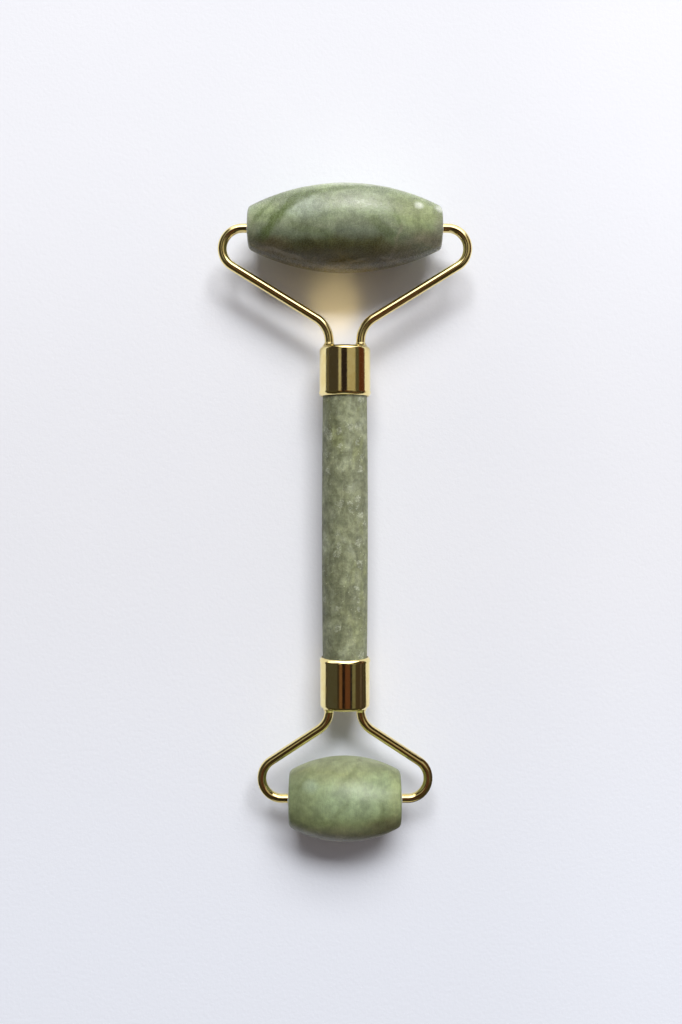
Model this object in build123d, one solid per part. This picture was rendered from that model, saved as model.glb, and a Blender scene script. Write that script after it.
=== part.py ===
from build123d import *
from dataclasses import dataclass
from math import radians, sqrt, tan
import os

# A double-ended face roller: a stone handle with a metal ferrule glued on each end, and in
# each ferrule a wire fork that holds a crowned stone roller between its two tips.
# Lengths are millimetres. X runs along both roller axes, Y along the handle towards the
# large roller, and Z is up, square to the plane of the forks. The origin is the middle of
# the whole tool, on the handle's axis.

# Whole tool
overall_length = 144.6

# Wire arms of both forks
wire_radius = 1.0
outer_bend_radius = 4.5      # of the wire's centreline, beside the roller
leg_offset = 3.45            # from the handle's axis to each leg's centreline
foot_depth = 2.2             # of each leg behind the ferrule's end wall
tip_depth = 5.5              # of each wire tip inside its roller
wire_end_round = 0.35

# Ferrules
ferrule_wall = 0.42
ferrule_end_wall = 0.8
ferrule_shoulder = 0.9       # radius of the closed end's outer edge
bead_length = 0.9            # of the raised bead at the open lip
bead_height = 0.15

# Solder at each leg's root
solder_width = 0.85
solder_height = 0.6
solder_skirt = 0.45          # how far the solder runs down the ferrule's rounded shoulder
solder_hollow = 0.28         # of the width and the height, at the middle of the concave slope

# Handle
handle_end_radius = 4.8
handle_middle_radius = 5.1
handle_end_chamfer = 0.5
foot_clearance = 0.4         # between the legs' feet and the end of the handle
glue_setback = 0.4           # of the glue's free edge behind the ferrule's lip

# Rollers
edge_round = 0.5             # of a roller's end rims
bore_radius = 1.3            # right through the stone
seat_depth = 6.0             # of the wider bore that holds each bush
seat_countersink = 0.2

# Bushes
bush_radius = 1.5
bush_lip = 0.3               # how far a bush stands out of its stone
bush_edge_round = 0.12
running_clearance = 0.05     # radial, between wire and bush


@dataclass
class End:
    """One end of the tool, with its distances measured from the origin along the handle."""

    name: str
    points_to_plus_y: bool
    roller_radius: float         # at the middle of the roller
    roller_length: float
    crown_radius: float          # of the long curve from end to end
    fork_half_span: float        # from the handle's axis to the outermost centreline
    arm_slope: float             # degrees between the sloping arm and the roller's axis
    neck_bend_radius: float      # of the wire's centreline, beside the ferrule
    ferrule_radius: float
    ferrule_lip: float           # where the open end starts
    ferrule_end: float           # where the closed end is

    @property
    def roller_axis(self):
        return overall_length / 2 - self.roller_radius

    @property
    def cavity_radius(self):
        return self.ferrule_radius - ferrule_wall

    @property
    def cavity_end(self):
        return self.ferrule_end - ferrule_end_wall

    @property
    def foot(self):
        return self.cavity_end - foot_depth

    @property
    def handle_end(self):
        return self.foot - foot_clearance


large = End(
    name="large",
    points_to_plus_y=True,
    roller_radius=9.75,
    roller_length=42.6,
    crown_radius=46.6,
    fork_half_span=27.05,
    arm_slope=31.7,
    neck_bend_radius=6.0,
    ferrule_radius=5.6,
    ferrule_lip=25.5,
    ferrule_end=36.4,
)
small = End(
    name="small",
    points_to_plus_y=False,
    roller_radius=9.2,
    roller_length=24.5,
    crown_radius=24.7,
    fork_half_span=18.3,
    arm_slope=33.2,
    neck_bend_radius=5.0,
    ferrule_radius=5.45,
    ferrule_lip=31.9,
    ferrule_end=43.1,
)

# Every piece of an end is drawn at the +Y end. These two put it where it belongs.


def placed(end, solid):
    return solid if end.points_to_plus_y else mirror(solid, about=Plane.XZ)


def both_sides(solid):
    """The solid, drawn at +X, and its mirror image at -X."""
    return solid, mirror(solid, about=Plane.YZ)


def cylinder_along_x(radius, start, length):
    return Pos(start + length / 2, 0, 0) * Rot(0, 90, 0) * Cylinder(radius, length)


def cylinder_along_y(radius, start, length):
    return Pos(0, start + length / 2, 0) * Rot(90, 0, 0) * Cylinder(radius, length)


# Rollers and their bushes


def roller_stone(end):
    """A barrel with a circular crown, bored through, with a wider seat for a bush at each end."""
    half = end.roller_length / 2
    crown_drop = end.crown_radius - sqrt(end.crown_radius**2 - half**2)
    end_radius = end.roller_radius - crown_drop
    crown = ThreePointArc((-half, end_radius), (0, end.roller_radius), (half, end_radius))
    rest = Polyline((half, end_radius), (half, 0), (-half, 0), (-half, end_radius))
    barrel = revolve(make_face(crown + rest), Axis.X)
    barrel = fillet(barrel.edges().filter_by(GeomType.CIRCLE), edge_round)
    barrel -= cylinder_along_x(bore_radius, -half, end.roller_length)
    seat = cylinder_along_x(bush_radius, half - seat_depth, seat_depth)
    countersink = Pos(half - seat_countersink / 2, 0, 0) * Rot(0, 90, 0) * Cone(
        bush_radius, bush_radius + seat_countersink, seat_countersink
    )
    for cut in both_sides(seat + countersink):
        barrel -= cut
    return Pos(0, end.roller_axis, 0) * barrel


def bush(end):
    """A nylon sleeve in the roller's seat, which turns on the wire tip."""
    start = end.roller_length / 2 - seat_depth
    length = seat_depth + bush_lip
    sleeve = cylinder_along_x(bush_radius, start, length)
    rim = sleeve.edges().filter_by(GeomType.CIRCLE).sort_by(Axis.X)[-1]
    sleeve = fillet(rim, bush_edge_round)
    sleeve -= cylinder_along_x(wire_radius + running_clearance, start, length)
    return Pos(0, end.roller_axis, 0) * sleeve


# Forks


def fork_arm(end):
    """One bent wire: in along the roller's axis, round, down to the neck and into the ferrule."""
    slope = radians(end.arm_slope)
    bend_centre = end.fork_half_span - outer_bend_radius
    corner = bend_centre + outer_bend_radius / tan(slope / 2)
    neck = end.roller_axis - (corner - leg_offset) * tan(slope)
    tip = end.roller_length / 2 - tip_depth
    path = FilletPolyline(
        (tip, end.roller_axis),
        (corner, end.roller_axis),
        (leg_offset, neck),
        (leg_offset, end.foot),
        radius=(outer_bend_radius, end.neck_bend_radius),
    )
    section = Plane(origin=(tip, end.roller_axis, 0), z_dir=(1, 0, 0)) * Circle(wire_radius)
    wire = sweep(section, path=path)
    flat_ends = wire.faces().filter_by(GeomType.PLANE)
    return fillet([edge for face in flat_ends for edge in face.edges()], wire_end_round)


def solder(end, ferrule):
    """A concave fillet round each leg, where it leaves the ferrule's closed end."""
    rim = wire_radius + solder_width
    middle = wire_radius + solder_hollow * solder_width, solder_hollow * solder_height
    slope = ThreePointArc((wire_radius, solder_height), middle, (rim, 0))
    skirt = Polyline(
        (rim, 0), (rim, -solder_skirt), (wire_radius, -solder_skirt), (wire_radius, solder_height)
    )
    ring = Pos(leg_offset, end.ferrule_end, 0) * revolve(make_face(slope + skirt), Axis.Y)
    return Compound([placed(end, one) - ferrule for one in both_sides(ring)])


# Ferrules, handle and glue


def ferrule(end, arms):
    """A drawn cup with a rounded shoulder, a raised bead at its lip and a hole for each leg."""
    shoulder_centre = end.ferrule_radius - ferrule_shoulder, end.ferrule_end - ferrule_shoulder
    bead_end = end.ferrule_lip + bead_length
    shoulder = CenterArc(shoulder_centre, ferrule_shoulder, 0, 90)
    bead = ThreePointArc(
        (end.ferrule_radius, end.ferrule_lip),
        (end.ferrule_radius + bead_height, (end.ferrule_lip + bead_end) / 2),
        (end.ferrule_radius, bead_end),
    )
    side = Line((end.ferrule_radius, bead_end), shoulder @ 0)
    rest = Polyline(
        shoulder @ 1,
        (0, end.ferrule_end),
        (0, end.cavity_end),
        (end.cavity_radius, end.cavity_end),
        (end.cavity_radius, end.ferrule_lip),
        (end.ferrule_radius, end.ferrule_lip),
    )
    cup = placed(end, revolve(make_face(bead + side + shoulder + rest), Axis.Y))
    for arm in arms:
        cup -= arm
    return cup


def handle_stone():
    """A round rod, a little fuller in the middle, with its chamfered ends inside the ferrules."""
    bottom, top = -small.handle_end, large.handle_end
    side = ThreePointArc(
        (handle_end_radius, bottom),
        (handle_middle_radius, (bottom + top) / 2),
        (handle_end_radius, top),
    )
    rest = Polyline((handle_end_radius, top), (0, top), (0, bottom), (handle_end_radius, bottom))
    rod = revolve(make_face(side + rest), Axis.Y)
    return chamfer(rod.edges().filter_by(GeomType.CIRCLE), handle_end_chamfer)


def glue(end, rod, arms):
    """Cured epoxy that fills the ferrule round the rod's end and the legs' feet."""
    start = end.ferrule_lip + glue_setback
    fill = placed(end, cylinder_along_y(end.cavity_radius, start, end.cavity_end - start))
    fill -= rod
    for arm in arms:
        fill -= arm
    return fill


def tool_pieces():
    """Every piece of the tool, by its node name."""
    rod = handle_stone()
    pieces = {"handle_stone": rod}
    for end in (large, small):
        arms = [placed(end, arm) for arm in both_sides(fork_arm(end))]
        cup = ferrule(end, arms)
        right_bush, left_bush = [placed(end, one) for one in both_sides(bush(end))]
        pieces[f"{end.name}_roller_stone"] = placed(end, roller_stone(end))
        pieces[f"{end.name}_roller_right_bush"] = right_bush
        pieces[f"{end.name}_roller_left_bush"] = left_bush
        pieces[f"{end.name}_fork_right_arm"] = arms[0]
        pieces[f"{end.name}_fork_left_arm"] = arms[1]
        pieces[f"{end.name}_fork_solder"] = solder(end, cup)
        pieces[f"{end.name}_end_ferrule"] = cup
        pieces[f"{end.name}_end_glue"] = glue(end, rod, arms)
    return pieces


os.makedirs("parts", exist_ok=True)
for name, solid in tool_pieces().items():
    export_step(solid, f"parts/{name}.step")
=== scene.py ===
from math import atan2, cos, degrees, pi, radians, sin, sqrt, tan

import bpy
import numpy as np
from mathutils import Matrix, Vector, noise


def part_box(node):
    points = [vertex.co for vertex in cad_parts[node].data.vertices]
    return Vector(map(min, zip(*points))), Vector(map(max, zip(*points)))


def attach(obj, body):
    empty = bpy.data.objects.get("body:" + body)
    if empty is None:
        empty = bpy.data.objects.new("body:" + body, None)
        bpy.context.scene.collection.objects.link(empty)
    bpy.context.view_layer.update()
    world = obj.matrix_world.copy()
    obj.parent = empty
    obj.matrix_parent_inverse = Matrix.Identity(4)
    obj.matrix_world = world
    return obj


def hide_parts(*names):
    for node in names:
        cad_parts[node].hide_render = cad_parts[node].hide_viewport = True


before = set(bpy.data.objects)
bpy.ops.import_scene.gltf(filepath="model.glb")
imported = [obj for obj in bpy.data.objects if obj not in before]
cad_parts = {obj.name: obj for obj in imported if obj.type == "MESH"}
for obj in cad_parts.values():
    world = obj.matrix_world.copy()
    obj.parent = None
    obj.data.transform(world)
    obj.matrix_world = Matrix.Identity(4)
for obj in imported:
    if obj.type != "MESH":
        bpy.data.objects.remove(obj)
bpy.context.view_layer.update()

# The looks of a double-ended jade face roller. Lengths are metres, in the frame of the CAD
# model: X along the roller axes, Y along the handle towards the large roller, Z up.
# Places and sizes come from the boxes of the CAD nodes. What a box can't give, such as the
# radius of a bend, is named here.

mm = 0.001

# Rollers
rim_radius = 1.2 * mm
bore_radius = 1.3 * mm
seat_radius = 1.5 * mm
seat_depth = 6.0 * mm
countersink = 0.2 * mm

# Wires
outer_bend_radius = 4.5 * mm
tip_depth = 5.5 * mm
wire_end_round = 0.35 * mm

# Ferrules and solder
ferrule_wall = 0.42 * mm
ferrule_end_wall = 0.8 * mm
ferrule_shoulder = 0.9 * mm
bead_height = 0.15 * mm
bead_crest = 0.86 * mm       # from the lip to the bead's highest ring
lip_curve = 1.0 * mm         # radius of the bead's rounded front
lip_edge = 0.03 * mm
solder_width = 0.7 * mm
solder_height = 0.95 * mm
solder_root = 0.3 * mm       # of the solder's hidden inner side
solder_hollow = 1.35         # 1 is a straight slope, and more is more concave
solder_wobble = 0.12

# Handle
handle_taper = 0.3 * mm      # how much less its radius is at the ends
handle_chamfer = 0.5 * mm

# How uneven the hand-ground stones are: (size of a bump, greatest depth)
roller_grinding = (6 * mm, 0.05 * mm)
handle_grinding = (5 * mm, 0.06 * mm)

# Stone colours, from dark to pale: (place, colour). On the rollers the place is millimetres
# from the axis towards the large end of the tool, on the handle it is a share of a cloud.
large_layers = [
    # Painted light: this paler bottom edge stands for light bounced up from the bright paper below.
    (-9.8, (0.240, 0.195, 0.072)),
    (-8.4, (0.116, 0.097, 0.027)),
    (-6.8, (0.077, 0.068, 0.019)),
    (-4.8, (0.098, 0.103, 0.046)),
    (-3.0, (0.174, 0.205, 0.128)),
    (-1.0, (0.234, 0.264, 0.168)),
    (1.2, (0.252, 0.304, 0.174)),
    (3.2, (0.234, 0.270, 0.153)),
    (5.5, (0.196, 0.234, 0.114)),
    (8.0, (0.278, 0.328, 0.172)),
    # Painted light: this palest top edge stands for light glowing through the thin stone.
    (9.5, (0.470, 0.510, 0.350)),
]
small_layers = [
    # Painted light: this paler bottom edge stands for light bounced up from the paper.
    (-9.0, (0.24, 0.23, 0.15)),
    (-7.4, (0.15, 0.145, 0.075)),
    (-5.6, (0.175, 0.185, 0.082)),
    (-3.0, (0.205, 0.250, 0.108)),
    (0.5, (0.235, 0.290, 0.148)),
    (4.0, (0.222, 0.275, 0.140)),
    (7.0, (0.215, 0.240, 0.108)),
    (9.2, (0.280, 0.310, 0.175)),
]
handle_layers = [
    (0.25, (0.115, 0.125, 0.072)),
    (0.42, (0.155, 0.165, 0.093)),
    (0.55, (0.205, 0.220, 0.130)),
    (0.72, (0.285, 0.305, 0.205)),
]

# Veins on the upper side of each roller: where one starts and stops, in millimetres from the
# roller's middle, half its width, how far it wanders, and its strength
large_dark_veins = [
    ((3.4, 8.0), (-12.0, 5.2), 1.0, 2.0, 0.55),
    ((-9.6, 6.4), (-18.3, -3.6), 1.7, 2.5, 0.80),
    ((-6.2, 6.6), (-13.8, 2.2), 1.3, 1.2, 0.60),
    ((10.2, 3.0), (12.0, -1.5), 0.7, 1.0, 0.40),
    ((-13.5, 7.2), (-20.5, -0.5), 0.8, 1.5, 0.45),
    ((5.0, 0.5), (11.5, -4.5), 1.8, 2.5, 0.45),
    ((2.0, 7.8), (9.5, 7.4), 0.6, 1.2, 0.40),
    ((-12.0, -1.0), (-2.5, -3.5), 1.6, 2.5, 0.35),
]
large_pale_veins = [
    ((9.5, -8.4), (12.4, -0.8), 0.7, 3.0, 0.28),
    ((7.4, -7.4), (12.4, -7.8), 0.6, 2.0, 0.30),
    ((13.0, -4.4), (20.5, -3.4), 1.0, 2.5, 0.35),
    ((-18.5, -4.8), (-9.0, -7.7), 0.5, 1.5, 0.45),
    ((-2.0, -8.8), (4.5, -7.9), 0.4, 1.5, 0.35),
]
# Patches on the upper side of each roller: (centre, half sizes, strength, colour)
patch_softness = 0.6
large_patches = [
    ((-8.5, 3.0, 8), (4.5, 2.6, 5), 0.60, (0.330, 0.375, 0.300)),
    # Painted highlight: this pale band lies along the roller's satin highlight.
    ((2.5, 5.2, 8), (6.5, 1.5, 4), 0.35, (0.420, 0.450, 0.360)),
    ((15.5, 1.6, 6), (5.0, 4.2, 6), 0.65, (0.275, 0.315, 0.140)),
    ((-17.0, 1.8, 5), (3.2, 2.6, 6), 0.55, (0.290, 0.340, 0.170)),
    ((18.0, -3.2, 5), (3.5, 1.4, 4), 0.50, (0.200, 0.165, 0.100)),
    ((-16.0, -4.6, 6), (4.0, 1.6, 4), 0.45, (0.190, 0.150, 0.080)),
    ((2.5, -2.8, 9), (4.8, 1.5, 4), 0.35, (0.190, 0.215, 0.160)),
    ((13.0, -6.2, 6), (5.0, 2.2, 5), 0.45, (0.215, 0.195, 0.115)),
    ((20.6, -2.0, 3), (1.6, 3.4, 5), 0.55, (0.330, 0.320, 0.230)),
    ((-20.6, -1.0, 3), (1.6, 4.0, 5), 0.55, (0.330, 0.350, 0.220)),
    ((15.9, 3.6, 6), (0.9, 0.8, 3), 0.80, (0.640, 0.660, 0.550)),
    ((20.6, 3.4, 4), (0.9, 0.9, 3), 0.80, (0.620, 0.640, 0.540)),
]
small_patches = [
    ((-7.5, 4.4, 6), (1.6, 1.2, 4), 0.40, (0.280, 0.350, 0.280)),
    ((1.0, 1.0, 8), (6.0, 3.2, 5), 0.35, (0.290, 0.370, 0.230)),
    ((7.5, 4.6, 6), (4.8, 2.8, 5), 0.45, (0.320, 0.390, 0.215)),
    ((8.6, -3.6, 5), (4.6, 1.8, 4), 0.65, (0.130, 0.112, 0.048)),
    ((11.0, 1.5, 3), (2.0, 5.0, 6), 0.55, (0.340, 0.375, 0.170)),
    # Painted shade: this darker patch at the left end stands for the side turned away from the light
    # on the right.
    ((-9.6, -1.0, 4), (4.2, 6.4, 6), 0.55, (0.165, 0.185, 0.085)),
]
small_dark_veins = [
    ((-1.5, 5.0), (3.2, 8.0), 0.8, 1.8, 0.50),
    ((-10.6, 3.6), (-6.8, 7.4), 0.6, 1.5, 0.45),
    ((-2.5, -1.4), (1.0, 1.8), 0.7, 1.5, 0.30),
    ((8.2, -5.5), (7.6, 1.5), 0.9, 2.0, 0.40),
    ((-9.5, -4.5), (-3.5, -2.5), 1.0, 2.0, 0.30),
]

# Lamps. Angles are degrees from Z and from Y towards X, sizes are metres, energies watts.
window_azimuth = 8
window_distance = 2.4
# The open window and its dimmer lower part: (name, angle from Z, size, energy, tint)
windows = [
    ("window", 37.5, (1.5, 0.52), 46.5, (0.97, 0.985, 1.0)),
    ("window_foot", 50, (1.5, 0.60), 22.5, (1.0, 0.985, 0.97)),
]
# The window that each roller's polish shows: (angle from Z, angle from Y, size, energy)
sheen_distance = 1.0
sheens = {
    "large": (56, 8, (0.18, 0.09), 3.1),
    "small": (40, 33, (0.70, 0.36), 7.6),
}
glint_tint = (1.0, 0.74, 0.28)
glint_distance = 4 * mm

# The dim room that the metal mirrors. Each band is (the angle where it ends, in degrees from
# Z towards X, and its colour), seen over the tool's large end (far) and small end (near).
room_turn = 110
band_softness = 1.5
room_far = [
    (-90, (0.05, 0.045, 0.04)),
    (-78, (0.10, 0.09, 0.07)),
    (-29, (0.05, 0.042, 0.036)),
    (-17, (0.42, 0.39, 0.32)),
    (10, (0.020, 0.014, 0.016)),
    (48, (0.40, 0.36, 0.28)),
    (66, (0.075, 0.072, 0.052)),
    (110, (0.088, 0.028, 0.014)),
]
room_near = [
    (-90, (0.050, 0.046, 0.038)),
    (-36, (0.062, 0.060, 0.050)),
    (-26, (0.034, 0.026, 0.018)),
    (-13, (0.150, 0.075, 0.045)),
    (1, (0.012, 0.006, 0.006)),
    (24, (0.105, 0.042, 0.025)),
    (34, (0.012, 0.010, 0.014)),
    (50, (0.150, 0.145, 0.105)),
    (76, (0.050, 0.036, 0.026)),
    (84, (0.100, 0.080, 0.072)),
    (110, (0.040, 0.026, 0.024)),
]

# Mesh resolution
around_stone = 256
around_ferrule = 192
around_wire = 48
around_solder = 64
solder_rows = 9
along_handle = 220
fine_step = 0.25 * mm

# Camera
camera_height = 240 * mm
camera_sideways = -0.86 * mm
camera_ahead = 7 * mm
view_height = 225.7 * mm

paper_half = 1500 * mm


class End:
    """One end of the tool, with distances measured from the origin along the handle."""

    def __init__(self, name, side, crown_radius, arm_slope, neck_bend_radius):
        self.name = name
        self.side = side
        self.crown_radius = crown_radius
        self.arm_slope = radians(arm_slope)
        self.neck_bend_radius = neck_bend_radius
        low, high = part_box(f"{name}_roller_stone")
        self.roller_half = high.x
        self.roller_radius = high.z
        self.roller_axis = abs(low.y + high.y) / 2
        low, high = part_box(f"{name}_end_ferrule")
        self.ferrule_radius = high.x - bead_height
        self.ferrule_lip = min(abs(low.y), abs(high.y))
        self.ferrule_end = max(abs(low.y), abs(high.y))
        low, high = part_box(f"{name}_fork_right_arm")
        self.wire_radius = high.z
        self.fork_half_span = high.x - self.wire_radius
        self.leg_offset = low.x + self.wire_radius
        self.foot = min(abs(low.y), abs(high.y))


large = End("large", 1, 46.6 * mm, 31.7, 6.0 * mm)
small = End("small", -1, 24.7 * mm, 33.2, 5.0 * mm)
ends = (large, small)
hands = {1: "right", -1: "left"}


# Meshes


def arc(centre, radius, start, stop, step=6):
    """Points on a circle in a plane, from one angle to the other, in degrees."""
    count = max(2, round(abs(stop - start) / step) + 1)
    angles = np.radians(np.linspace(start, stop, count))
    return [(centre[0] + radius * cos(a), centre[1] + radius * sin(a)) for a in angles]


def spread(points, step):
    """The same outline with extra points, so that no stretch is longer than the step."""
    result = [points[0]]
    for start, stop in zip(points, points[1:]):
        start, stop = np.array(start), np.array(stop)
        count = max(1, round(float(np.linalg.norm(stop - start)) / step))
        result += [tuple(start + (stop - start) * i / count) for i in range(1, count + 1)]
    return result


def signed_volume(points, faces):
    """Six times the volume inside the faces, negative where they face inwards."""
    total = 0.0
    for face in faces:
        corners = [Vector(points[i]) for i in face]
        for second, third in zip(corners[1:], corners[2:]):
            total += corners[0].dot(second.cross(third))
    return total


def skin(name, rings, loop=False, side=1):
    """A closed mesh through rings of points: a tube with capped ends, or a ring if loop is True."""
    rings = np.array(rings, float)
    rings[:, :, 1] *= side
    count, around = rings.shape[:2]
    points = [tuple(p) for p in rings.reshape(-1, 3)]
    faces = []
    for i in range(count if loop else count - 1):
        here, there = i * around, (i + 1) % count * around
        for j in range(around):
            k = (j + 1) % around
            faces.append((here + j, here + k, there + k, there + j))
    if not loop:
        for i, turn in ((0, -1), (count - 1, 1)):
            points.append(tuple(rings[i].mean(axis=0)))
            for j in range(around):
                a, b = i * around + j, i * around + (j + 1) % around
                faces.append((a, b, len(points) - 1)[::turn])
    if side < 0:
        faces = [face[::-1] for face in faces]
    mesh = bpy.data.meshes.new(name)
    mesh.from_pydata(points, [], faces)
    mesh.validate()
    if signed_volume(points, faces) < 0:
        mesh.flip_normals()
    mesh.shade_smooth()
    mesh.set_sharp_from_angle(angle=radians(40))
    return add_object(name, mesh)


def add_object(name, data):
    made = bpy.data.objects.new(name, data)
    bpy.context.scene.collection.objects.link(made)
    return made


def turned(outline, around, axis, centre=0.0, bulge=None):
    """Rings of a turned shape. The outline is (distance along the axis, radius) points."""
    rings = []
    for along, radius in outline:
        ring = []
        for angle in np.linspace(0, 2 * pi, around, endpoint=False):
            r = radius + (bulge(along, angle, radius) if bulge else 0)
            if axis == "x":
                ring.append((along, centre + r * cos(angle), r * sin(angle)))
            else:
                ring.append((r * cos(angle), along, r * sin(angle)))
        rings.append(ring)
    return rings


def hand_ground(seed, size, depth):
    """Slight unevenness of a ground stone surface: a bulge for turned(), never above the outline."""

    def bulge(along, angle, radius):
        spot = Vector((along, radius * cos(angle), radius * sin(angle))) / size
        value = noise.fractal(spot + Vector((seed, seed, seed)), 1.0, 2.0, 3)
        return min(0.0, -0.5 * depth + 0.5 * depth * value)

    return bulge


# Stones


def roller_outline(end):
    """A crowned barrel's closed outline, from the left end round to the bore and back."""
    half = end.roller_half
    crown_centre = end.roller_radius - end.crown_radius
    inner = end.crown_radius - rim_radius
    rim_centre = half - rim_radius, crown_centre + sqrt(inner**2 - (half - rim_radius) ** 2)
    rim_turn = degrees(atan2(rim_centre[1] - crown_centre, rim_centre[0]))
    crown = arc((0, crown_centre), end.crown_radius, 180 - rim_turn, rim_turn, 0.5)
    right_rim = arc(rim_centre, rim_radius, rim_turn, 0)
    left_rim = [(-x, r) for x, r in right_rim[::-1]]
    right_face = spread([(half, rim_centre[1]), (half, seat_radius + countersink)], fine_step)[1:]
    bore = [
        (half - countersink, seat_radius),
        (half - seat_depth, seat_radius),
        (half - seat_depth, bore_radius),
    ]
    right_side = right_face + bore
    left_side = [(-x, r) for x, r in right_side[::-1]]
    return left_side + left_rim + crown[1:-1] + right_rim + right_side


def roller_stone(end, seed):
    outline = roller_outline(end)
    uneven = hand_ground(seed, *roller_grinding)

    def bulge(along, angle, radius):
        return uneven(along, angle, radius) if radius > seat_radius + countersink else 0.0

    rings = turned(outline, around_stone, "x", end.roller_axis, bulge)
    return skin(f"{end.name}_roller_jade", rings, loop=True, side=end.side)


def handle_stone():
    """A rod that is fullest at its middle, with a chamfer at each hidden end."""
    low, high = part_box("handle_stone")
    middle, half = (low.y + high.y) / 2, (high.y - low.y) / 2
    crown = (half**2 + handle_taper**2) / (2 * handle_taper)
    side = [
        (y, high.x - crown + sqrt(crown**2 - (y - middle) ** 2))
        for y in np.linspace(low.y + handle_chamfer, high.y - handle_chamfer, along_handle)
    ]
    end_radius = high.x - handle_taper - handle_chamfer
    outline = [(low.y, end_radius / 2), (low.y, end_radius)] + side
    outline += [(high.y, end_radius), (high.y, end_radius / 2)]
    rings = turned(outline, around_stone, "y", bulge=hand_ground(3.0, *handle_grinding))
    return skin("handle_jade", rings)


# Metal


def arm_path(end):
    """The right-hand arm's centreline, from its tip in the roller to its foot in the ferrule."""
    slope = degrees(end.arm_slope)
    bend_x = end.fork_half_span - outer_bend_radius
    corner = bend_x + outer_bend_radius / tan(end.arm_slope / 2)
    neck = end.roller_axis - (corner - end.leg_offset) * tan(end.arm_slope)
    neck_x = end.leg_offset + end.neck_bend_radius
    neck_y = neck - end.neck_bend_radius * tan(radians(90 - slope) / 2)
    tip = (end.roller_half - tip_depth, end.roller_axis)
    bend_centre = (bend_x, end.roller_axis - outer_bend_radius)
    bend = arc(bend_centre, outer_bend_radius, 90, slope - 90, 4)
    neck_bend = arc((neck_x, neck_y), end.neck_bend_radius, 90 + slope, 180, 4)
    return spread([tip] + bend + neck_bend + [(end.leg_offset, end.foot)], 0.5 * mm)


def rounded_ends(path, radius):
    """Stations (centre, direction, radius) along a wire whose two ends are rounded off."""
    ahead = np.gradient(path, axis=0)
    ahead /= np.linalg.norm(ahead, axis=1)[:, None]
    start, middle, stop = [], list(zip(path, ahead, [radius] * len(path)))[1:-1], []
    for angle in np.radians((0, 30, 60, 90)):
        inset = wire_end_round * (1 - sin(angle))
        smaller = radius - wire_end_round * (1 - cos(angle))
        start.insert(0, (path[0] + ahead[0] * inset, ahead[0], smaller))
        stop.append((path[-1] - ahead[-1] * inset, ahead[-1], smaller))
    return start + middle + stop


def fork_arm(end, hand):
    """A bent wire, at the right (hand 1) or at the left (hand -1)."""
    rings = []
    for centre, ahead, radius in rounded_ends(np.array(arm_path(end)), end.wire_radius):
        aside = np.array((-ahead[1], ahead[0]))
        ring = []
        for angle in np.linspace(0, 2 * pi, around_wire, endpoint=False):
            x, y = centre + aside * radius * cos(angle)
            ring.append((hand * x, y, radius * sin(angle)))
        rings.append(ring)
    return skin(f"{end.name}_fork_{hands[hand]}_wire", rings, side=end.side)


def ferrule(end):
    """A drawn cup: rounded shoulder, straight side, raised bead at the lip, and its inside."""
    inside = end.ferrule_radius - ferrule_wall
    floor = end.ferrule_end - ferrule_end_wall
    shoulder_centre = (end.ferrule_end - ferrule_shoulder, end.ferrule_radius - ferrule_shoulder)
    shoulder = arc(shoulder_centre, ferrule_shoulder, 90, 0, 10)
    crest = end.ferrule_lip + bead_crest
    bead_centre = (crest, end.ferrule_radius + bead_height - lip_curve)
    bead = arc(bead_centre, lip_curve, 148, 84, 4)
    lip = [(end.ferrule_lip, inside + lip_edge)]
    step = (bead[-1][0] + lip_edge, end.ferrule_radius)
    outer = lip + bead + spread([step, shoulder[0]], 1 * mm)[:-1] + shoulder
    centre_spot = 0.05 * mm
    closed_end = [(end.ferrule_end, centre_spot), (floor, centre_spot), (floor, inside)]
    inner = [(end.ferrule_lip + 0.1 * mm, inside)]
    rings = turned(outer + closed_end + inner, around_ferrule, "y")
    return skin(f"{end.name}_ferrule_gold", rings, loop=True, side=end.side)


def solder(end, hand):
    """A concave fillet round a leg, whose skirt follows the ferrule's rounded shoulder."""
    flat = end.ferrule_radius - ferrule_shoulder
    rings = []
    for t in np.linspace(0, 1, solder_rows):
        out = solder_width * t
        height = solder_height * (1 - t) ** solder_hollow
        ring = []
        for angle in np.linspace(0, 2 * pi, around_solder, endpoint=False):
            bump = noise.noise(Vector((cos(angle), sin(angle), 5 * end.side + hand)))
            r = end.wire_radius * 0.99 + out * (1 + solder_wobble * bump)
            x, z = end.leg_offset + r * cos(angle), r * sin(angle)
            over = min(max(0.0, sqrt(x * x + z * z) - flat), 0.96 * ferrule_shoulder)
            surface = end.ferrule_end - (ferrule_shoulder - sqrt(ferrule_shoulder**2 - over**2))
            ring.append((hand * x, surface + height + 0.01 * mm, z))
        rings.append(ring)
    inner = [[(x, y - solder_root, z) for x, y, z in ring] for ring in (rings[-1], rings[0])]
    return skin(f"{end.name}_{hands[hand]}_solder", rings + inner, loop=True, side=end.side)


# Materials


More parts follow.
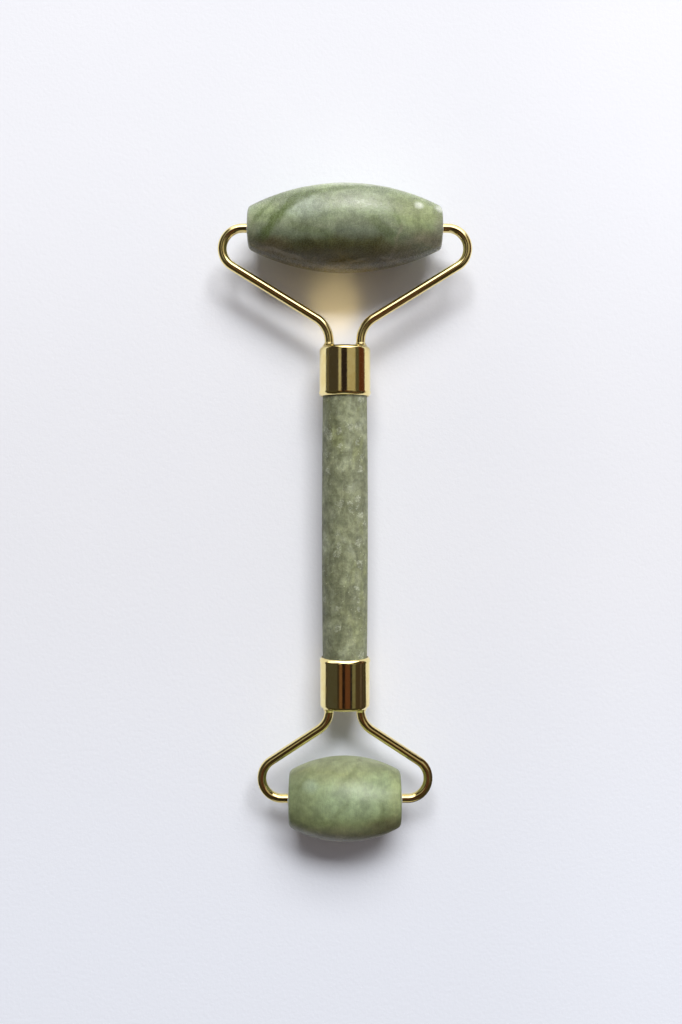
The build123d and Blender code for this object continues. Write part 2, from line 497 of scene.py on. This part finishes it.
class Shader:
    """A node tree of a material, or of the world. Its methods add nodes and return outputs."""

    def __init__(self, name, owner=None):
        self.material = owner or bpy.data.materials.new(name)
        self.material.use_nodes = True
        self.tree = self.material.node_tree
        self.tree.nodes.clear()

    def node(self, kind, inputs=(), output=0, **settings):
        made = self.tree.nodes.new(kind)
        for key, value in settings.items():
            setattr(made, key, value)
        for key, value in dict(inputs).items():
            if isinstance(value, bpy.types.NodeSocket):
                self.tree.links.new(value, made.inputs[key])
            else:
                made.inputs[key].default_value = value
        return made.outputs[output] if made.outputs else None

    def vector(self, operation, a, b, output=0):
        return self.node("ShaderNodeVectorMath", {0: a, 1: b}, output, operation=operation)

    def place(self, centre=(0, 0, 0)):
        """Millimetres from a centre that is given in metres."""
        raw = self.node("ShaderNodeTexCoord", output="Object")
        moved = self.vector("SUBTRACT", raw, centre)
        return self.vector("MULTIPLY", moved, (1 / mm, 1 / mm, 1 / mm))

    def split(self, vector):
        """The three numbers of a vector."""
        return self.node("ShaderNodeSeparateXYZ", {0: vector}).node.outputs

    def noise(self, vector, scale, detail=4.0, roughness=0.55, distortion=0.0, output="Fac"):
        inputs = {
            "Vector": vector,
            "Scale": scale,
            "Detail": detail,
            "Roughness": roughness,
            "Distortion": distortion,
        }
        return self.node("ShaderNodeTexNoise", inputs, output)

    def voronoi(self, vector, scale, output="Distance"):
        return self.node("ShaderNodeTexVoronoi", {"Vector": vector, "Scale": scale}, output)

    def math(self, operation, a, b=0.0, c=0.0):
        return self.node("ShaderNodeMath", {0: a, 1: b, 2: c}, operation=operation)

    def band(self, value, low, high, to_low=0.0, to_high=1.0):
        """A smooth step from one value to the other as the input goes from low to high."""
        inputs = {
            "Value": value,
            "From Min": low,
            "From Max": high,
            "To Min": to_low,
            "To Max": to_high,
        }
        return self.node("ShaderNodeMapRange", inputs, interpolation_type="SMOOTHSTEP")

    def span(self, value, rise, fall):
        """1 between two soft edges of a value and 0 outside. Each edge is (start, stop)."""
        return self.math("MULTIPLY", self.band(value, *rise), self.band(value, *fall, 1, 0))

    def mix(self, share, a, b):
        """Colour a where the share is 0 and colour b where it is 1."""
        return self.node("ShaderNodeMix", {0: share, 6: a, 7: b}, output=2, data_type="RGBA")

    def ramp(self, value, stops):
        """A colour that changes along a value from 0 to 1, from (place, colour) stops."""
        made = self.tree.nodes.new("ShaderNodeValToRGB")
        points = made.color_ramp.elements
        while len(points) < len(stops):
            points.new(1.0)
        for point, (position, colour) in zip(points, stops):
            point.position = position
            point.color = colour
        self.tree.links.new(value, made.inputs[0])
        return made.outputs[0]

    def bump(self, height, distance, strength=1.0):
        inputs = {"Height": height, "Distance": distance, "Strength": strength}
        return self.node("ShaderNodeBump", inputs)

    def finish(self, inputs):
        """The finished material, from the inputs of its surface by name."""
        surface = self.node("ShaderNodeBsdfPrincipled", inputs)
        self.node("ShaderNodeOutputMaterial", {"Surface": surface})
        return self.material


def linear(value):
    value /= 255
    return value / 12.92 if value <= 0.04045 else ((value + 0.055) / 1.055) ** 2.4


def colour(red, green, blue):
    """A colour from its everyday 0 to 255 values."""
    return linear(red), linear(green), linear(blue), 1.0


def layers(s, value, low, high, tones):
    """A blend through (place, colour) tones along a value that runs from low to high."""
    stops = [((place - low) / (high - low), (*tone, 1)) for place, tone in tones]
    return s.ramp(s.math("MULTIPLY_ADD", value, 1 / (high - low), -low / (high - low)), stops)


def shaded(s, base, amount):
    """The base colour made darker or lighter by a factor around 1."""
    return s.node("ShaderNodeVectorMath", {0: base, "Scale": amount}, operation="SCALE")


def patch(s, spot, centre, radii):
    """1 inside an ellipsoid and 0 outside, with a ragged soft edge."""
    away = s.vector("DIVIDE", s.vector("SUBTRACT", spot, centre), radii)
    away = s.node("ShaderNodeVectorMath", {0: away}, "Value", operation="LENGTH")
    ragged = s.math("MULTIPLY_ADD", s.noise(spot, 0.9, 4, 0.6), 0.8, -0.4)
    return s.band(s.math("ADD", away, ragged), 1 - patch_softness, 1 + patch_softness, 1, 0)


def vein(s, spot, start, stop, width, wander):
    """1 along a wandering line between two (x, y) places on the upper side, 0 away from it."""
    along = Vector((stop[0] - start[0], stop[1] - start[1], 0))
    length = along.length
    along = along.normalized()
    across = (-along.y, along.x, 0)
    away = s.vector("SUBTRACT", spot, (*start, 0))
    forward = s.vector("DOT_PRODUCT", away, along, "Value")
    aside = s.vector("DOT_PRODUCT", away, across, "Value")
    drift = s.math("MULTIPLY_ADD", s.noise(spot, 0.35, 3), wander, -wander / 2)
    aside = s.math("ABSOLUTE", s.math("ADD", aside, drift))
    line = s.band(aside, 0.2 * width, width, 1, 0)
    line = s.math("MULTIPLY", line, s.band(forward, -0.1 * length, 0.15 * length))
    line = s.math("MULTIPLY", line, s.band(forward, 0.85 * length, 1.1 * length, 1, 0))
    upper = s.band(s.split(spot)[2], -1, 2)
    return s.math("MULTIPLY", line, upper)


def tinted(s, base, share, strength, tone):
    """The base colour, mixed with a tone where the share is 1."""
    return s.mix(s.math("MULTIPLY", share, strength), base, (*tone, 1))


def patched(s, spot, base, patches):
    for centre, radii, strength, tone in patches:
        base = tinted(s, base, patch(s, spot, centre, radii), strength, tone)
    return base


def veined(s, spot, base, veins, tone):
    for start, stop, width, wander, strength in veins:
        base = tinted(s, base, vein(s, spot, start, stop, width, wander), strength, tone)
    return base


def large_roller_look(s, spot):
    """Dark towards the handle and pale away from it, with green, grey and white marks. Its paler top
    and bottom edges, a pale band on the highlight and a paler right end are painted light, and its
    darker left end is painted shade.
    """
    x, y = s.split(spot)[:2]
    warp = s.math("MULTIPLY_ADD", s.noise(spot, 0.16, 4, 0.6), 5.0, -2.5)
    # Painted light and shade: the right end is made paler and the left end darker, as if lit from
    # the right.
    left = s.math("MULTIPLY", s.math("MAXIMUM", s.math("MULTIPLY_ADD", x, -1, -9), 0), -0.10)
    right = s.math("MULTIPLY", s.math("MAXIMUM", s.math("ADD", x, -7), 0), 0.22)
    level = s.math("ADD", s.math("ADD", y, warp), s.math("ADD", left, right))
    base = patched(s, spot, layers(s, level, -10, 10, large_layers), large_patches)
    base = veined(s, spot, base, large_dark_veins, (0.100, 0.135, 0.042))
    return veined(s, spot, base, large_pale_veins, (0.34, 0.31, 0.22))


def small_roller_look(s, spot):
    """Even light green, with faint dark veins and one brown patch. Its paler bottom edge is painted
    light and its darker left end painted shade.
    """
    y = s.split(spot)[1]
    warp = s.math("MULTIPLY_ADD", s.noise(spot, 0.16, 4, 0.6), 4.0, -2.0)
    base = layers(s, s.math("ADD", y, warp), -10, 10, small_layers)
    base = patched(s, spot, base, small_patches)
    return veined(s, spot, base, small_dark_veins, (0.125, 0.150, 0.060))


def handle_look(s, spot):
    """Matt olive grey with pale clouds, crystal flakes of a millimetre or two and tiny specks."""
    clouds = s.noise(s.vector("MULTIPLY", spot, (1, 0.6, 1)), 0.35, 5, 0.62, 0.5)
    base = layers(s, clouds, 0, 1, handle_layers)
    olive = s.noise(s.vector("MULTIPLY", spot, (0.8, 0.35, 0.8)), 0.3, 4)
    base = s.mix(s.band(olive, 0.52, 0.68, 0, 0.55), base, (0.19, 0.205, 0.085, 1))
    wobble = s.noise(spot, 0.9, 3, 0.6, output="Color")
    warped = s.vector("ADD", spot, s.vector("MULTIPLY", wobble, (2.2, 2.2, 2.2)))
    picked = s.band(s.split(s.voronoi(warped, 0.42, output="Color"))[0], 0.66, 0.74)
    near = s.voronoi(warped, 0.42)
    flake = s.math("MULTIPLY", s.band(near, 0.28, 0.40, 1, 0), picked)
    from_edge = s.math("ABSOLUTE", s.math("SUBTRACT", near, 0.36))
    ring = s.math("MULTIPLY", s.band(from_edge, 0.02, 0.06, 1, 0), picked)
    rough = s.band(s.noise(spot, 2.6, 4, 0.7), 0.40, 0.62)
    base = tinted(s, base, s.math("MULTIPLY", flake, rough), 0.55, (0.40, 0.42, 0.33))
    base = tinted(s, base, s.math("MULTIPLY", ring, rough), 0.45, (0.50, 0.52, 0.42))
    speck = s.band(s.voronoi(spot, 1.1), 0.10, 0.17, 1, 0)
    speck = s.math("MULTIPLY", speck, s.band(olive, 0.45, 0.6))
    return tinted(s, base, speck, 0.6, (0.50, 0.52, 0.36))


def jade(name, centre, look, polish, mottling, streaks, seed):
    """Stone whose look() gives its pattern, with grain, grinding marks, a slight glow within and a
    painted pale rim of light along its outline.
    """
    s = Shader(name)
    spot = s.place(centre)
    moved = s.vector("ADD", spot, (seed, seed, seed))
    base = look(s, spot)
    cloud = s.noise(moved, 0.30, 4, 0.6, 0.5)
    mottle = s.noise(moved, 0.95, 5, 0.62, 0.3)
    grain = s.noise(moved, 3.6, 4, 0.7)
    streak = s.noise(s.vector("MULTIPLY", moved, streaks), 1.0, 4, 0.6)
    base = shaded(s, base, s.band(cloud, 0.3, 0.7, 0.80, 1.20))
    base = shaded(s, base, s.band(mottle, 0.28, 0.72, 1 - mottling, 1 + mottling))
    base = shaded(s, base, s.band(grain, 0.25, 0.75, 1 - 0.5 * mottling, 1 + 0.5 * mottling))
    base = shaded(s, base, s.band(streak, 0.3, 0.7, 0.93, 1.07))
    # Painted light: a pale rim along the outline, standing for light glowing through and glancing
    # off the stone's edges.
    painted_rim_light = s.band(s.node("ShaderNodeLayerWeight", output="Facing"), 0.80, 0.98)
    base = tinted(s, base, painted_rim_light, 0.35, (0.50, 0.50, 0.40))
    height = s.math("ADD", s.math("MULTIPLY_ADD", streak, 0.5, grain), mottle)
    return s.finish(
        {
            "Base Color": base,
            "Roughness": s.band(grain, 0.3, 0.7, polish - 0.05, polish + 0.10),
            "IOR": 1.55,
            "Subsurface Weight": 0.15,
            "Subsurface Radius": (1.0, 1.2, 0.6),
            "Subsurface Scale": 0.8 * mm,
            "Normal": s.bump(height, 0.04 * mm),
        }
    )


def gold(name, roughness=0.09):
    s = Shader(name)
    spot = s.place()
    peel = s.noise(spot, 1.6, 3, 0.5)
    wear = s.noise(spot, 0.5, 5, 0.6)
    base = s.mix(s.band(wear, 0.35, 0.7), colour(252, 236, 172), colour(246, 226, 154))
    return s.finish(
        {
            "Base Color": base,
            "Metallic": 1.0,
            "Roughness": s.band(wear, 0.3, 0.75, roughness, roughness + 0.08),
            "Normal": s.bump(peel, 0.01 * mm, 0.5),
        }
    )


def nylon():
    s = Shader("nylon")
    spot = s.place()
    cloud = s.noise(spot, 1.5, 4)
    base = s.mix(cloud, colour(226, 222, 208), colour(244, 242, 234))
    return s.finish(
        {
            "Base Color": base,
            "Roughness": s.band(cloud, 0.3, 0.7, 0.4, 0.55),
            "Subsurface Weight": 0.2,
            "Subsurface Scale": 0.5 * mm,
            "Normal": s.bump(s.noise(spot, 9.0), 0.01 * mm),
        }
    )


def epoxy():
    s = Shader("epoxy")
    spot = s.place()
    cloud = s.noise(spot, 1.2, 4)
    base = s.mix(cloud, colour(150, 132, 88), colour(196, 182, 138))
    return s.finish(
        {
            "Base Color": base,
            "Roughness": s.band(cloud, 0.3, 0.7, 0.2, 0.4),
            "Coat Weight": 0.3,
            "Normal": s.bump(cloud, 0.04 * mm),
        }
    )


def paper():
    """White paper, with painted light: a little brighter nearest the window and at the far right,
    and bluer towards the small end. For mirror rays only, its far sides are painted dark as a
    painted reflection.
    """
    s = Shader("paper")
    spot = s.place()
    x, y = s.split(spot)[:2]
    fibre = s.noise(spot, 1.1, 6, 0.65)
    cloud = s.noise(spot, 0.02, 3)
    base = s.mix(cloud, colour(237, 238, 243), colour(242, 242, 246))
    # Painted light: bluer towards the small end, as cooler light there.
    bluer = s.band(y, -110, 0, 1, 0)
    base = s.mix(bluer, base, colour(241, 244, 252))
    # Painted light: brighter nearest the window and towards the far right.
    painted_window_falloff = s.band(y, 10, 85, 0.945, 1.0)
    painted_right_light = s.band(x, 25, 75, 1.0, 1.045)
    base = shaded(s, shaded(s, base, painted_window_falloff), painted_right_light)
    # Painted reflection: for mirror rays only, the paper beyond a slanted line at each side turns
    # dark.
    is_mirrored = s.node("ShaderNodeLightPath", output="Is Glossy Ray")
    right = s.band(s.math("MULTIPLY_ADD", y, -0.5, x), 50, 55)
    left = s.band(s.math("MULTIPLY_ADD", y, 0.8, x), -105, -98, 1, 0)
    painted_dark_reflection = s.mix(s.band(y, -30, 20), (0.042, 0.034, 0.022, 1), (0.085, 0.030, 0.018, 1))
    base = s.mix(s.math("MULTIPLY", is_mirrored, right), base, painted_dark_reflection)
    base = s.mix(s.math("MULTIPLY", is_mirrored, left), base, (0.050, 0.042, 0.032, 1))
    return s.finish(
        {
            "Base Color": base,
            "Roughness": 0.9,
            "Specular IOR Level": 0.2,
            "Normal": s.bump(fibre, 0.12 * mm, 0.5),
        }
    )


def dark_reflection_card():
    s = Shader("dark_reflection_card")
    # Painted reflection: a dark card that only mirrors see.
    weave = s.noise(s.place(), 2.0, 3)
    base = s.mix(weave, (0.05, 0.028, 0.012, 1), (0.07, 0.04, 0.018, 1))
    return s.finish({"Base Color": base, "Roughness": 0.9})


# Putting it together


def dress(piece, body, material, slot, *nodes):
    """Gives a piece its material and its body, and hides the CAD nodes it stands for. The slot is
    not used.
    """
    piece.data.materials.append(material)
    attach(piece, body)
    if nodes:
        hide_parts(*nodes)


def repaint(node, material):
    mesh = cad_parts[node].data
    mesh.materials.clear()
    mesh.materials.append(material)


def build_object():
    yellow = gold("gold_plating")
    yellow_solder = gold("gold_plated_solder", 0.16)
    white_nylon, amber_epoxy = nylon(), epoxy()
    stone = jade("handle_jade", (0, 0, 0), handle_look, 0.62, 0.26, (3.0, 0.7, 3.0), 4.0)
    handle = handle_stone()
    dress(handle, "handle", stone, "handle_stone", "handle_stone")
    add_handle_fill(handle)
    looks = {large: large_roller_look, small: small_roller_look}
    polish = {large: 0.24, small: 0.36}
    mottling = {large: 0.13, small: 0.08}
    for end in ends:
        centre = (0, end.side * end.roller_axis, 0)
        name, seed = f"{end.name}_roller_jade", 11.0 * end.side
        stone = jade(name, centre, looks[end], polish[end], mottling[end], (3, 0.8, 0.8), seed)
        roller = roller_stone(end, 7.0 * end.side)
        node = f"{end.name}_roller_stone"
        dress(roller, f"{end.name}_roller", stone, node, node)
        add_sheen(end, roller)
        cup = ferrule(end)
        dress(cup, "handle", yellow, "gold_plated_metal", f"{end.name}_end_ferrule")
        if end is small:
            add_lip_sheen(cup)
        for hand, word in hands.items():
            arm = fork_arm(end, hand)
            dress(arm, "handle", yellow, "gold_plated_metal", f"{end.name}_fork_{word}_arm")
            dress(solder(end, hand), "handle", yellow_solder, "solder", f"{end.name}_fork_solder")
            repaint(f"{end.name}_roller_{word}_bush", white_nylon)
        repaint(f"{end.name}_end_glue", amber_epoxy)


def add_sheet(name, corners, material):
    """A flat sheet with four corners, which isn't part of the object."""
    mesh = bpy.data.meshes.new(name)
    mesh.from_pydata(corners, [], [(0, 1, 2, 3)])
    mesh.materials.append(material)
    sheet = add_object(name, mesh)
    return sheet


def build_floor():
    """A sheet of paper that both rollers rest on."""
    low = {end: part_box(f"{end.name}_roller_stone")[0].z for end in ends}
    rise = (low[small] - low[large]) / (large.roller_axis + small.roller_axis)
    corners = []
    for x, y in ((-1, -1), (1, -1), (1, 1), (-1, 1)):
        x, y = x * paper_half, y * paper_half
        corners.append((x, y, low[large] + rise * (large.roller_axis - y)))
    add_sheet("paper_sheet", corners, paper())


def build_flag():
    """A dark card beside the handle, seen only in the right-hand wire of the small fork, where it
    makes a painted dark reflection.
    """
    left, right = 20 * mm, 75 * mm
    bottom, top = 4 * mm, 90 * mm
    y = -15 * mm
    corners = [(left, y, bottom), (right, y, bottom), (right, y, top), (left, y, top)]
    card = add_sheet("flag", corners, dark_reflection_card())
    card.visible_camera = card.visible_diffuse = card.visible_shadow = False


def direction(zenith, azimuth):
    """A unit vector from two angles in degrees: from Z, and from Y towards X."""
    tilt, turn = radians(zenith), radians(azimuth)
    return Vector((sin(tilt) * sin(turn), sin(tilt) * cos(turn), cos(tilt)))


def add_lamp(name, target, zenith, azimuth, distance, size, energy, tint):
    """An area lamp that shines at a place."""
    data = bpy.data.lights.new(name, "AREA")
    data.shape = "RECTANGLE"
    data.size, data.size_y = size
    data.energy = energy
    data.color = tint
    lamp = add_object(name, data)
    lamp.location = Vector(target) + direction(zenith, azimuth) * distance
    lamp.rotation_euler = (-radians(zenith), 0, -radians(azimuth))
    lamp.visible_camera = False
    return lamp


def build_windows():
    """Daylight from beyond the large roller, which mirrors get from the room instead."""
    for name, zenith, size, energy, tint in windows:
        place = zenith, window_azimuth, window_distance
        lamp = add_lamp(name, (0, 0, 0), *place, size, energy, tint)
        lamp.visible_glossy = False


def add_sheen(end, roller):
    """The satin reflection of a window on one roller, which nothing else mirrors."""
    zenith, azimuth, size, energy = sheens[end.name]
    target = (0, end.side * end.roller_axis, 0)
    place = zenith, azimuth, sheen_distance
    lamp = add_lamp(f"{end.name}_sheen", target, *place, size, energy, (1, 1, 1))
    lamp.visible_diffuse = False
    shine_only_on(lamp, roller)


def add_lip_sheen(cup):
    """The wide bright wall that the small ferrule's lip mirrors."""
    target = (0, -small.ferrule_lip, 0)
    lamp = add_lamp(
        "lip_sheen",
        target,
        zenith=90,
        azimuth=0,
        distance=0.3,
        size=(2.0, 0.9),
        energy=10,
        tint=(1.0, 0.95, 0.93),
    )
    shine_only_on(lamp, cup)


def add_handle_fill(handle):
    """Soft light on the handle from its right."""
    lamp = add_lamp(
        "handle_fill",
        (0, 0, 0),
        zenith=60,
        azimuth=90,
        distance=1.0,
        size=(0.5, 0.5),
        energy=3.6,
        tint=(1, 1, 1),
    )
    shine_only_on(lamp, handle)


def shine_only_on(lamp, piece):
    """Light linking: everything but this piece ignores the lamp."""
    only = bpy.data.collections.new(f"{lamp.name}_receiver")
    only.objects.link(piece)
    lamp.light_linking.receiver_collection = only


def add_glint(name, zenith, azimuth, spread_angle, energy):
    """Window light that the large ferrule's flat end throws down on the paper in front of it."""
    data = bpy.data.lights.new(name, "AREA")
    data.shape = "ELLIPSE"
    data.size = 2 * large.ferrule_radius
    data.size_y = data.size * sin(radians(zenith))
    data.spread = radians(spread_angle)
    data.energy = energy
    data.color = glint_tint
    lamp = add_object(name, data)
    beam = direction(180 - zenith, azimuth)
    lamp.location = Vector((0, large.ferrule_end, 0)) + beam * glint_distance
    lamp.rotation_mode = "QUATERNION"
    lamp.rotation_quaternion = (-beam).to_track_quat("Z", "Y")
    lamp.visible_glossy = False


def build_glints():
    add_glint("window_glint", zenith=53, azimuth=-10, spread_angle=26, energy=0.000075)
    add_glint("wide_glint", zenith=47, azimuth=-20, spread_angle=90, energy=0.00014)


def stripes(s, angle, tones):
    """Soft-edged bands of a room, each one a colour that ends at an angle in degrees."""
    start, stops = -room_turn, []
    for stop, tone in tones:
        for edge in (start + band_softness, stop - band_softness):
            stops.append(((edge + room_turn) / (2 * room_turn), (*tone, 1)))
        start = stop
    return s.ramp(s.math("MULTIPLY_ADD", angle, 1 / (2 * room_turn), 0.5), stops)


def mirrored_room(s, x, y, z):
    """What the metal mirrors: dim stripes, with a pale wall and its window over the large end."""
    from_top = s.math("DEGREES", s.math("ARCTAN2", x, z))
    far = stripes(s, from_top, room_far)
    low_near = s.band(y, -0.45, -0.3, 1, 0)
    near = s.mix(low_near, stripes(s, from_top, room_near), (0.040, 0.034, 0.018, 1))
    room = s.mix(s.band(y, -0.03, 0.03), near, far)
    lean = s.math("DEGREES", s.math("ARCTAN2", y, z))
    turn = s.math("DEGREES", s.math("ARCTAN2", x, y))
    wall = s.math("MULTIPLY", s.span(turn, (-34, -26), (40, 50)), s.band(lean, 20, 27))
    room = s.mix(wall, room, (1.5, 1.42, 1.38, 1))
    pane = s.span(turn, (-26, -18), (38, 46))
    pane = s.math("MULTIPLY", pane, s.span(lean, (28, 32), (56, 60)))
    room = s.mix(pane, room, (3.2, 3.0, 3.0, 1))
    behind = s.band(y, -0.94, -0.88, 0.8, 0)
    return s.mix(behind, room, (0.75, 0.72, 0.68, 1))


def soft_light(s, x, y):
    """What lights matt things: cool from the large end, warm from the small, less at the left."""
    light = s.mix(s.band(y, -0.4, 0.8), (0.150, 0.120, 0.102, 1), (0.20, 0.225, 0.275, 1))
    from_side = s.math("ADD", s.band(x, -0.9, 0.4, 0.7, 1.2), s.band(x, 0.55, 0.95, 0, 0.6))
    return shaded(s, light, from_side)


def build_room():
    world = bpy.data.worlds.new("room")
    bpy.context.scene.world = world
    world.use_nodes = True
    s = Shader("room", world)
    x, y, z = s.split(s.node("ShaderNodeTexCoord"))
    is_mirrored = s.node("ShaderNodeLightPath", output="Is Glossy Ray")
    tone = s.mix(is_mirrored, soft_light(s, x, y), mirrored_room(s, x, y, z))
    light = s.node("ShaderNodeBackground", {"Color": tone})
    s.node("ShaderNodeOutputWorld", {"Surface": light})


def build_camera():
    """A camera that looks straight down, from a little nearer the large end than the middle."""
    data = bpy.data.cameras.new("camera")
    data.sensor_width = 36
    data.lens = data.sensor_width * camera_height / view_height
    data.shift_y = -camera_ahead / view_height
    camera = add_object("camera", data)
    camera.location = (camera_sideways, camera_ahead, camera_height)
    bpy.context.scene.camera = camera


build_object()
build_floor()
build_flag()
build_windows()
build_glints()
build_room()
build_camera()
bpy.context.scene.view_settings.view_transform = "Standard"
